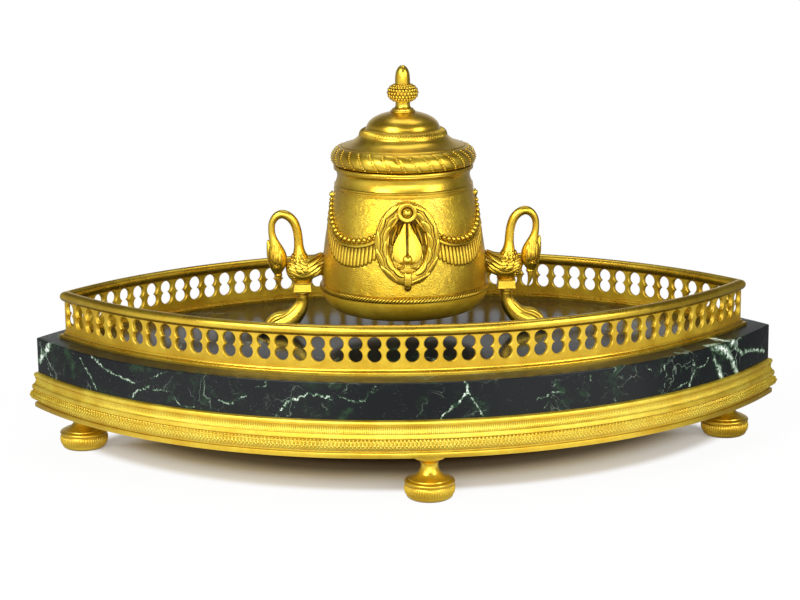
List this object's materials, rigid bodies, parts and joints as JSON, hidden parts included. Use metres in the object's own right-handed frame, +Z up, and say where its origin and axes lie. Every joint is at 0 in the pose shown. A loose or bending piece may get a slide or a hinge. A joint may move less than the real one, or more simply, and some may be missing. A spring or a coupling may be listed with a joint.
{
  "type": "desk inkstand",
  "caption": "Gilt bronze ink pot with a hinged lid and drop handles, carried by swans on a pointed marble slab with a pierced gallery, moulded base and turned feet.",
  "frame": {"origin": "on the table under the middle of the stand, at the undersides of the feet", "axes": "+X along the stand to the writer's right, -Y towards the writer, +Z up"},
  "size_m": [0.3698, 0.2108, 0.1863],
  "materials": {
    "gilt_bronze": "fire gilt, matte with burnished edges",
    "marble": "polished dark green marble with pale veins",
    "steel": "plain",
    "porcelain": "glazed white"
  },
  "bodies": {
    "stand": {"foot_left": "gilt_bronze", "foot_right": "gilt_bronze", "foot_front": "gilt_bronze", "foot_back": "gilt_bronze", "foot_nuts": "steel", "bottom_plate": "gilt_bronze", "base_screws": "steel", "base_moulding_front": "gilt_bronze", "base_moulding_back": "gilt_bronze", "marble_slab": "marble", "gallery_strip_front": "gilt_bronze", "gallery_strip_back": "gilt_bronze", "gallery_band_front": "gilt_bronze", "gallery_band_back": "gilt_bronze", "gallery_rail_front": "gilt_bronze", "gallery_rail_back": "gilt_bronze", "gallery_studs": "steel", "gallery_nuts": "steel", "leg_left": "gilt_bronze", "leg_right": "gilt_bronze", "leg_rods": "steel", "leg_rod_nuts": "steel", "leg_dowels": "steel", "swan_left": "gilt_bronze", "swan_right": "gilt_bronze", "swan_screws": "steel", "pot_dish": "gilt_bronze", "pot_bead_ring": "gilt_bronze", "pot_body": "gilt_bronze", "pot_collar": "gilt_bronze", "ink_liner": "porcelain", "side_knobs": "gilt_bronze", "swag_front_left": "gilt_bronze", "swag_front_right": "gilt_bronze", "swag_back_left": "gilt_bronze", "swag_back_right": "gilt_bronze", "palmette_front": "gilt_bronze", "palmette_back": "gilt_bronze", "handle_bracket_front": "gilt_bronze", "handle_bracket_back": "gilt_bronze", "handle_pins": "steel", "hinge_pot_leaf": "gilt_bronze", "hinge_pin": "steel"},
    "lid_assembly": {"lid": "gilt_bronze", "lid_rim": "gilt_bronze", "finial": "gilt_bronze", "finial_nut": "steel", "hinge_lid_leaf": "gilt_bronze"},
    "front_handle": {"wreath_front": "gilt_bronze", "boss_front": "gilt_bronze"},
    "back_handle": {"wreath_back": "gilt_bronze", "boss_back": "gilt_bronze"}
  },
  "joints": [
    {"name": "lid_hinge", "type": "hinge", "parent": "stand", "child": "lid_assembly", "pos_m": [0, 0.0376, 0.1389], "axis": [-1, 0, 0], "range_deg": [0, 100]},
    {"name": "front_handle_swing", "type": "hinge", "parent": "stand", "child": "front_handle", "pos_m": [0, -0.03643, 0.1249], "axis": [-1, 0, 0], "range_deg": [0, 75]},
    {"name": "back_handle_swing", "type": "hinge", "parent": "stand", "child": "back_handle", "pos_m": [0, 0.03643, 0.1249], "axis": [1, 0, 0], "range_deg": [0, 75]}
  ]
}
